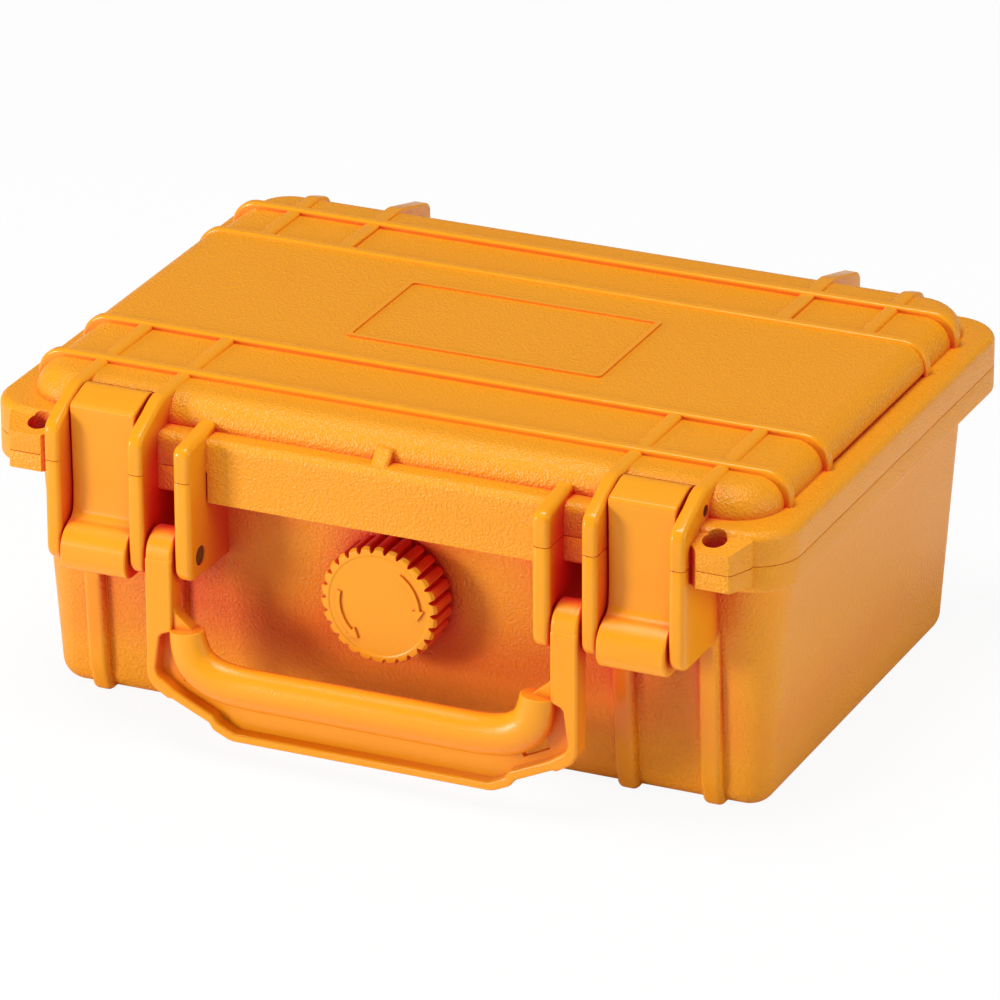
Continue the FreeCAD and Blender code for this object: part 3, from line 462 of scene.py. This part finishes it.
# %% Break the edges


def apply_modifier(piece, kind, **settings):
    make_active(piece)
    modifier = piece.modifiers.new(kind.lower(), kind)
    for name, value in settings.items():
        setattr(modifier, name, value)
    bpy.ops.object.modifier_apply(modifier=modifier.name)
    return piece


def break_edges(piece, width, segments=3):
    """Rounds every sharp edge by a width in millimetres, and keeps the flat faces flat."""
    make_active(piece)
    bpy.ops.object.shade_smooth()
    return apply_modifier(
        piece,
        "BEVEL",
        width=width * MM,
        segments=segments,
        limit_method="ANGLE",
        angle_limit=math.radians(32),
        harden_normals=True,
    )


def join_pieces(name, pieces):
    make_active(pieces[0])
    for piece in pieces:
        piece.select_set(True)
    bpy.ops.object.join()
    joined = bpy.context.object
    joined.name = name
    return joined


def paint(piece, finish):
    piece.data.materials.clear()
    piece.data.materials.append(finish)
    return piece


def fit(piece, body, slot, finish, *replaced):
    """Gives a finished piece its finish and its body, and hides the engineering parts that it stands for."""
    paint(piece, finish)
    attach(piece, body)
    if replaced:
        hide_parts(*replaced)
    low, high = ([round(v / MM, 1) for v in corner] for corner in piece_box(piece))
    print(piece.name, "faces:", len(piece.data.polygons), "mm from", low, "to", high)
    return piece


def piece_box(piece):
    spots = [vertex.co for vertex in piece.data.vertices]
    low = Vector([min(s[i] for s in spots) for i in range(3)])
    high = Vector([max(s[i] for s in spots) for i in range(3)])
    return low, high


# %% [markdown]
# ## Dressing the engineering parts
# Parts whose shape is already right keep it and only change their finish: the steel pins, the seal
# and the inner parts of the purge valve.

# %% Give every carried-over part its finish
FINISH_OF = {
    "case_plastic": CASE_PLASTIC,
    "latch_plastic": LATCH_PLASTIC,
    "handle_plastic": GRIP_PLASTIC,
    "knob_plastic": LATCH_PLASTIC,
    "valve_plastic": BLACK_NYLON,
    "pin_steel": STEEL,
    "seal_rubber": RUBBER,
    "foam": FOAM,
}
SLOT_OF = {row["node"]: row["material_slot"] for row in frame["record"]["subparts"]}
for name, part in frame["nodes"].items():
    paint(part, FINISH_OF[SLOT_OF[name]])
print("dressed", len(frame["nodes"]), "parts")

# %% [markdown]
# ## The two shells
# The tub and the lid come as fine engineering surfaces, so a copy is the best start. The copy's
# loose triangles are merged, and the edge where the two halves meet is bevelled, which leaves the
# fine dark parting line of the real case. A value is then painted on every corner: one where the
# mould is etched with grain, and nothing on the polished ribs and the label frame.

# %% Copy a shell and merge it
PARTING = 71.0
TUB_INSIDE, LID_INSIDE = (97.2, 62.2), (94.2, 62.2)
RIB_LINES_Y = (-55.3, -31.4, 32.9, 53.0)
RIB_LINES_X = ((81.9, 2.1), (59.6, 2.1), (47.1, 2.4))


def copy_shell(node, name):
    clear_selection()
    piece = bpy.data.objects.new(name, frame["nodes"][node].data.copy())
    scene.collection.objects.link(piece)
    make_active(piece)
    bpy.ops.mesh.customdata_custom_splitnormals_clear()
    bpy.ops.object.mode_set(mode="EDIT")
    bpy.ops.mesh.select_all(action="SELECT")
    bpy.ops.mesh.remove_doubles(threshold=0.000003)
    return piece


# %% Bevel the parting edge


def open_seam(piece, facing, width):
    """Bevels the outer edges of the joint face, which looks up on the tub and down on the lid."""
    bpy.ops.mesh.select_mode(type="EDGE")
    mesh = bmesh.from_edit_mesh(piece.data)
    mesh.normal_update()
    for edge in mesh.edges:
        level = all(abs(vertex.co.z - PARTING * MM) < 1e-5 for vertex in edge.verts)
        flat = any(face.normal.z * facing > 0.9 for face in edge.link_faces)
        middle = (edge.verts[0].co + edge.verts[1].co) / 2
        out = any(abs(f.normal.z) < 0.3 and f.normal.xy.dot(middle.xy) > 0 for f in edge.link_faces)
        edge.select_set(level and flat and out and len(edge.link_faces) == 2)
    mesh.select_flush_mode()
    count = sum(edge.select for edge in mesh.edges)
    bpy.ops.mesh.bevel(offset=width * MM, segments=2, affect="EDGES")
    bpy.ops.object.mode_set(mode="OBJECT")
    print(piece.name, "seam edges:", count)


# %% Paint where the mould is etched


def is_polished(spot):
    """True on a rib or on the label frame, for a place in millimetres."""
    x, y, z = abs(spot.x), spot.y, spot.z
    if z > 79.6 and any(abs(y - line) < 1.6 for line in RIB_LINES_Y):
        return True
    if (y < -58 or y > 56) and any(abs(x - line) < half for line, half in RIB_LINES_X):
        return True
    if z > 80 and y < -31 and any(abs(x - line) < half for line, half in RIB_LINES_X[:2]):
        return True
    if z > 80 and y > 33 and any(abs(x - line) < half for line, half in RIB_LINES_X[:2]):
        return True
    return z > 87.25 and x < 35 and abs(y - 0.35) < 20.2


def is_inner(spot, normal):
    """True on the walls and floor that only show when the case is open."""
    x, y, z = abs(spot.x), abs(spot.y), spot.z
    in_tub = x < TUB_INSIDE[0] and y < TUB_INSIDE[1] and 2.9 < z < PARTING - 0.1
    in_lid = x < LID_INSIDE[0] and y < LID_INSIDE[1] and PARTING - 0.1 < z < 83.6
    looks_in = normal.x * spot.x + normal.y * spot.y < -1e-3 or (in_tub and normal.z > 0.3)
    return (in_tub or in_lid) and (looks_in or (in_lid and normal.z < -0.3))


def paint_shell(piece):
    grained = piece.data.attributes.new("grained", "FLOAT", "CORNER")
    outer_skin = piece.data.attributes.new("outer_skin", "FLOAT", "CORNER")
    for face in piece.data.polygons:
        spot = face.center / MM
        for corner in face.loop_indices:
            grained.data[corner].value = 0.0 if is_polished(spot) else 1.0
            outer_skin.data[corner].value = 0.0 if is_inner(spot, face.normal) else 1.0
    make_active(piece)
    bpy.ops.object.shade_smooth_by_angle(angle=math.radians(28))


# %% Finish both shells
tub = copy_shell("base_shell", "tub")
open_seam(tub, 1.0, 0.3)
paint_shell(tub)
fit(tub, "base", "case_plastic", CASE_PLASTIC, "base_shell")
lid = copy_shell("lid_shell", "lid")
open_seam(lid, -1.0, 0.3)
paint_shell(lid)
fit(lid, "lid", "case_plastic", CASE_PLASTIC, "lid_shell")

# %% [markdown]
# ## The latches
# Each latch is one moulded lever: a barrel that turns on a steel pin, a flat plate, a soft scoop
# for the fingertip and a rolled lip. Seen from the side it is a single outline, so it is drawn
# once, extruded across its width, and mirrored for the other side.

# %% Draw a latch from the side
LATCH_OUTLINE = [
    (-66.8, 88.3, 5.6),
    (-78.9, 84.3, 0.9),
    (-78.3, 60.5, 3.0),
    (-79.1, 55.2, 1.9),
    (-84.2, 53.9, 3.6),
    (-86.0, 49.6, 2.6),
    (-86.0, 45.4, 2.0),
    (-83.6, 42.5, 2.4),
    (-76.2, 42.5, 1.2),
    (-76.2, 77.1),
    (-66.8, 77.1, 3.9),
]
for side, low, high in (("left", -79.5, -62.0), ("right", 62.0, 79.5)):
    lever = plate(f"latch_lever_{side}", "X", LATCH_OUTLINE, low, high)
    break_edges(lever, 0.55)
    fit(lever, f"latch_{side}", "latch_plastic", LATCH_PLASTIC, f"latch_{side}")

# %% [markdown]
# ## The carry handle
# The handle is a flat frame with two arms, a thick rounded bar for the fingers, and a thin web
# between the two with a small window at each end. Each is modelled alone and then joined, which is
# how the ribs and walls of a real moulding grow out of each other.

# %% Frame and arms
FRAME_OUTSIDE = [
    (34.7, 5.4, 1.2),
    (39.4, 7.5),
    (40.6, 9.3),
    (50.4, 13.8),
    (51.6, 13.8),
    (57.0, 17.0, 3.0),
    (57.0, 50.5),
]
FRAME_INSIDE = [
    (49.9, 50.5),
    (49.9, 31.6),
    (53.2, 30.4, 1.0),
    (54.7, 19.8, 2.0),
    (49.6, 16.4),
    (39.2, 11.7),
    (38.0, 9.8),
    (33.7, 7.8),
]


def mirror_corners(corners):
    return [(-corner[0], *corner[1:]) for corner in reversed(corners)]


frame_corners = mirror_corners(FRAME_OUTSIDE) + FRAME_OUTSIDE + FRAME_INSIDE + mirror_corners(FRAME_INSIDE)
grip_frame = break_edges(plate("grip_frame", "Y", frame_corners, -85.3, -79.3), 0.8)

# %% Pin barrels at the top of the arms


def rod(name, axis, radius, centre, length, vertices=48):
    """A round bar along an axis, placed by its middle, in millimetres."""
    turn = {"X": (0, math.pi / 2, 0), "Y": (math.pi / 2, 0, 0), "Z": (0, 0, 0)}[axis]
    clear_selection()
    bpy.ops.mesh.primitive_cylinder_add(
        vertices=vertices, radius=radius * MM, depth=length * MM, location=Vector(centre) * MM, rotation=turn
    )
    bpy.ops.object.transform_apply(location=True, rotation=True, scale=True)
    piece = bpy.context.object
    piece.name = name
    return piece


barrels = [break_edges(rod("barrel", "X", 6.0, (side * 53.4, -79.0, 50.5), 7.1), 0.9) for side in (-1, 1)]

# %% Web with its two windows
WEB = [
    (34.4, 6.2),
    (39.0, 8.4),
    (40.2, 10.2),
    (50.2, 14.8),
    (55.8, 18.2),
    (55.0, 30.8),
    (47.0, 30.8),
    (45.0, 20.4),
]
web = plate("web", "Y", mirror_corners(WEB) + WEB, -81.9, -80.1)
WINDOW = [(40.2, 17.0), (41.9, 14.6), (48.6, 17.9), (47.6, 21.4)]
for corners in (WINDOW, mirror_corners(WINDOW)):
    cutter = plate("window_cutter", "Y", corners, -90.0, -76.0)
    apply_modifier(web, "BOOLEAN", object=cutter, operation="DIFFERENCE", solver="EXACT")
    bpy.data.objects.remove(cutter)
break_edges(web, 0.3, 2)

# %% The rounded bar
BAR_HALF = [
    (0.0, 19.7, 1.0),
    (22.0, 19.7, 1.0),
    (33.0, 19.7, 1.0),
    (40.6, 21.2, 1.0),
    (45.8, 25.6, 0.97),
    (46.4, 32.6, 0.84),
]
BAR_RADIUS, BAR_DEPTH, BAR_Y = 5.3, 4.3, -83.9
clear_selection()
bpy.ops.curve.primitive_nurbs_path_add()
bar = bpy.context.object
bar.name = "bar"
path = bar.data.splines[0]
stations = [(-x, z, r) for x, z, r in reversed(BAR_HALF[1:])] + BAR_HALF
path.points.add(len(stations) - len(path.points))
for point, (x, z, thickness) in zip(path.points, stations):
    point.co = (*(Vector((x, BAR_Y, z)) * MM), 1.0)
    point.radius = thickness
path.order_u = 3
path.use_endpoint_u = True
path.resolution_u = 8
bar.data.bevel_depth = BAR_RADIUS * MM
bar.data.bevel_resolution = 8
bar.data.use_fill_caps = True
make_active(bar)
bpy.ops.object.convert(target="MESH")
bpy.ops.object.mode_set(mode="EDIT")
bpy.ops.mesh.select_all(action="SELECT")
bpy.ops.mesh.remove_doubles(threshold=0.00001)
bpy.ops.transform.resize(value=(1, BAR_DEPTH / BAR_RADIUS, 1), center_override=Vector((0, BAR_Y, 20)) * MM)
bpy.ops.mesh.normals_make_consistent(inside=False)
bpy.ops.object.mode_set(mode="OBJECT")
break_edges(bar, 0.7)

# %% Gussets, and the whole handle
GUSSET = [(50.3, 31.5), (50.3, 38.5), (49.2, 36.4), (45.0, 32.8), (45.0, 31.5)]
gussets = []
for corners in (GUSSET, mirror_corners(GUSSET)):
    gussets.append(break_edges(plate("gusset", "Y", corners, -84.2, -80.6), 0.3, 2))
grip = join_pieces("carry_grip", [grip_frame, web, bar] + barrels + gussets)
fit(grip, "handle", "handle_plastic", GRIP_PLASTIC, "handle")

# %% [markdown]
# ## The purge knob
# The knob lets air in after a flight or a climb. Its edge has saw teeth that a cold or gloved hand
# can turn, and two raised arrows show which way it opens and closes. The teeth are made on a round
# bar by pulling its points in and out in a repeating pattern. Lettering is left out on purpose.

# %% Knob body with saw teeth
KNOB_Z, KNOB_FACE, KNOB_BACK = 43.0, -73.3, -65.0
TEETH, PER_TOOTH, TOOTH_TIP = 26, 8, 15.4
TOOTH_SHAPE = (13.7, 15.2, 15.4, 15.4, 15.35, 15.25, 15.0, 13.9)
KNOB_MIDDLE = (0, (KNOB_FACE + KNOB_BACK) / 2, KNOB_Z)
knob = rod("purge_knob_cap", "Y", TOOTH_TIP, KNOB_MIDDLE, KNOB_BACK - KNOB_FACE, TEETH * PER_TOOTH)
centre = Vector((0, 0, KNOB_Z)) * MM
for vertex in knob.data.vertices:
    across = Vector((vertex.co.x, 0, vertex.co.z)) - centre
    turn = math.atan2(across.z, across.x) / math.tau * TEETH * PER_TOOTH
    radius = TOOTH_SHAPE[round(turn) % PER_TOOTH] * MM
    spot = centre + across.normalized() * radius
    vertex.co.x, vertex.co.z = spot.x, spot.z

# %% Soften its face


def select_faces(piece, wanted):
    mesh = bmesh.from_edit_mesh(piece.data)
    for face in mesh.faces:
        face.select_set(wanted(face))
    mesh.select_flush_mode()
    return sum(face.select for face in mesh.faces)


FACE_STEPS = ((0.975, -0.25), (0.955, -0.35), (0.93, -0.1), (0.86, 0.0), (0.835, 0.2))
make_active(knob)
bpy.ops.object.mode_set(mode="EDIT")
bpy.ops.mesh.select_mode(type="FACE")
select_faces(knob, lambda face: face.normal.y < -0.9)
for size, forward in FACE_STEPS:
    bpy.ops.mesh.extrude_region_move(TRANSFORM_OT_translate={"value": (0, forward * MM, 0)})
    mesh = bmesh.from_edit_mesh(knob.data)
    for vertex in [v for v in mesh.verts if v.select]:
        across = Vector((vertex.co.x, 0, vertex.co.z)) - centre
        reach = min(across.length, TOOTH_TIP * size * MM)
        spot = centre + across.normalized() * reach
        vertex.co.x, vertex.co.z = spot.x, spot.z
    bmesh.update_edit_mesh(knob.data)
bpy.ops.object.mode_set(mode="OBJECT")
make_active(knob)
bpy.ops.object.shade_smooth_by_angle(angle=math.radians(24))

# %% Raised arrows


def arrow(start, end, radius, width=0.6, steps=14):
    """A curved arrow on the knob's face, from one angle in degrees to another, round the centre."""
    sign = 1 if end > start else -1
    turns = [start + (end - start) * i / steps for i in range(steps + 1)]
    outside = [(radius + width, turn) for turn in turns]
    inside = [(radius - width, turn) for turn in reversed(turns)]
    head = [(radius + 1.7, end), (radius, end + sign * 15), (radius - 1.7, end)]
    corners = []
    for reach, turn in outside + head + inside:
        angle = math.radians(turn)
        corners.append((reach * math.cos(angle), KNOB_Z + reach * math.sin(angle)))
    return break_edges(plate("arrow", "Y", corners, KNOB_FACE - 1.15, KNOB_FACE), 0.2, 2)


arrows = [arrow(58, 4, 10.6), arrow(166, 226, 10.6)]
knob = join_pieces("purge_knob_cap", [knob] + arrows)
fit(knob, "purge_knob", "knob_plastic", LATCH_PLASTIC, "purge_knob")

# %% [markdown]
# ## The foam lining
# The tub's floor has a plain foam pad, and the lid is lined with convoluted foam, whose rounded
# peaks press on what is packed. Foam is cut from a block, so each pad starts as one. The peaks are
# a fine grid whose points follow a wave, cut to the lid's outline with a boolean.

# %% Floor pad


def foam_block(name, low, high, corner):
    outline = [
        (low.x, low.y, corner),
        (high.x, low.y, corner),
        (high.x, high.y, corner),
        (low.x, high.y, corner),
    ]
    return plate(name, "Z", outline, low.z, high.z)


low, high = (Vector(spot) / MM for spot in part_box("base_foam"))
floor_pad = break_edges(foam_block("floor_pad", low, high, 7.0), 3.0, 5)
fit(floor_pad, "base", "foam", FOAM, "base_foam")

# %% Convoluted lid pad
PEAK_PITCH, PEAK_HEIGHT = 23.0, 5.0
low, high = (Vector(spot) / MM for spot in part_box("lid_foam"))
clear_selection()
bpy.ops.mesh.primitive_grid_add(x_subdivisions=150, y_subdivisions=100, size=1.0)
waves = bpy.context.object
for vertex in waves.data.vertices:
    x, y = vertex.co.x * (high.x - low.x + 8), vertex.co.y * (high.y - low.y + 8)
    swell = math.cos(math.tau * x / PEAK_PITCH) * math.cos(math.tau * y / PEAK_PITCH)
    level = low.z + PEAK_HEIGHT * (0.5 - 0.5 * swell)
    vertex.co = Vector((x, y + (low.y + high.y) / 2, level)) * MM
bpy.ops.object.mode_set(mode="EDIT")
bpy.ops.mesh.select_all(action="SELECT")
bpy.ops.mesh.extrude_region_move(TRANSFORM_OT_translate={"value": (0, 0, 30 * MM)})
bpy.ops.mesh.select_all(action="SELECT")
bpy.ops.mesh.normals_make_consistent(inside=False)
bpy.ops.object.mode_set(mode="OBJECT")
lid_pad = break_edges(foam_block("lid_pad", low, high, 7.5), 2.5, 4)
apply_modifier(lid_pad, "BOOLEAN", object=waves, operation="INTERSECT", solver="EXACT")
bpy.data.objects.remove(waves)
make_active(lid_pad)
bpy.ops.object.shade_smooth_by_angle(angle=math.radians(50))
fit(lid_pad, "lid", "foam", FOAM, "lid_foam")
